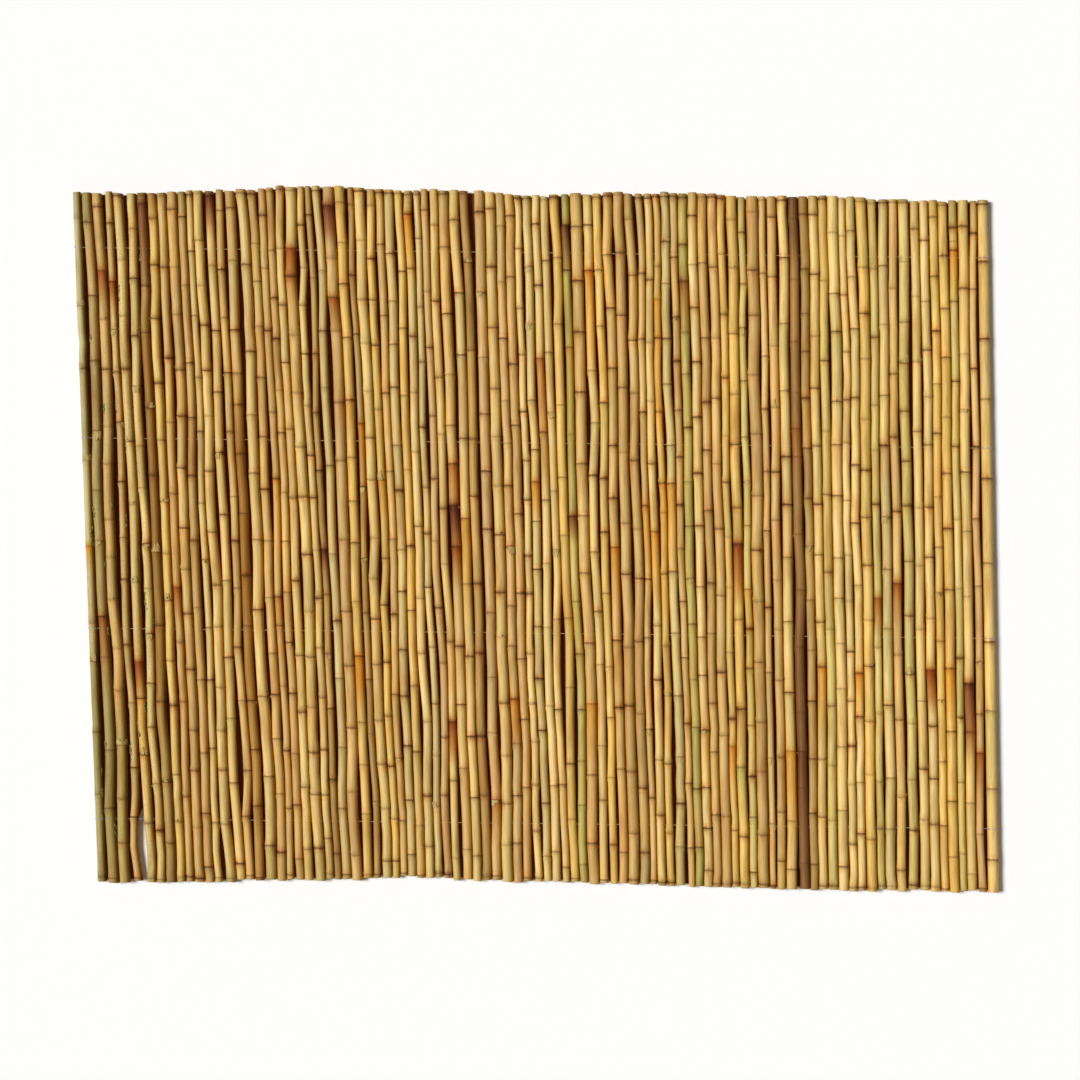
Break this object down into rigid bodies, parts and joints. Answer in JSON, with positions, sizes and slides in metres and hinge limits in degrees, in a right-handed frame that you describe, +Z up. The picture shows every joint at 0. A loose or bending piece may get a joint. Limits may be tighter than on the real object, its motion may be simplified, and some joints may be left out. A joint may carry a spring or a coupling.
{
  "type": "bamboo screening panel",
  "caption": "Natural bamboo screening unrolled flat: upright canes strung side by side on galvanised wires that turn back over the outermost canes",
  "frame": {"origin": "on the floor under the middle of the flat panel", "axes": "+X along the wires, +Y along the canes towards the end that is up in the picture, +Z up off the floor"},
  "size_m": [2.4958, 1.8664, 0.0327],
  "materials": {
    "straw_bamboo": "natural waxy skin",
    "green_bamboo": "natural waxy skin, greenish",
    "dark_bamboo": "natural waxy skin, stained brown",
    "galvanised_wire": "zinc coated"
  },
  "bodies": {
    "root": {"canes_01_to_08": "green_bamboo", "canes_09_to_16": "straw_bamboo", "canes_17_to_24": "straw_bamboo", "canes_25_to_32": "straw_bamboo", "canes_33_to_40": "straw_bamboo", "canes_41_to_48": "straw_bamboo", "canes_49_to_56": "straw_bamboo", "canes_57_to_64": "straw_bamboo", "canes_65_to_72": "straw_bamboo", "canes_74_to_80": "straw_bamboo", "canes_81_to_88": "straw_bamboo", "canes_89_to_92": "straw_bamboo", "dark_cane": "dark_bamboo", "wire_lowest": "galvanised_wire", "wire_lower": "galvanised_wire", "wire_upper": "galvanised_wire", "wire_highest": "galvanised_wire"}
  },
  "joints": []
}
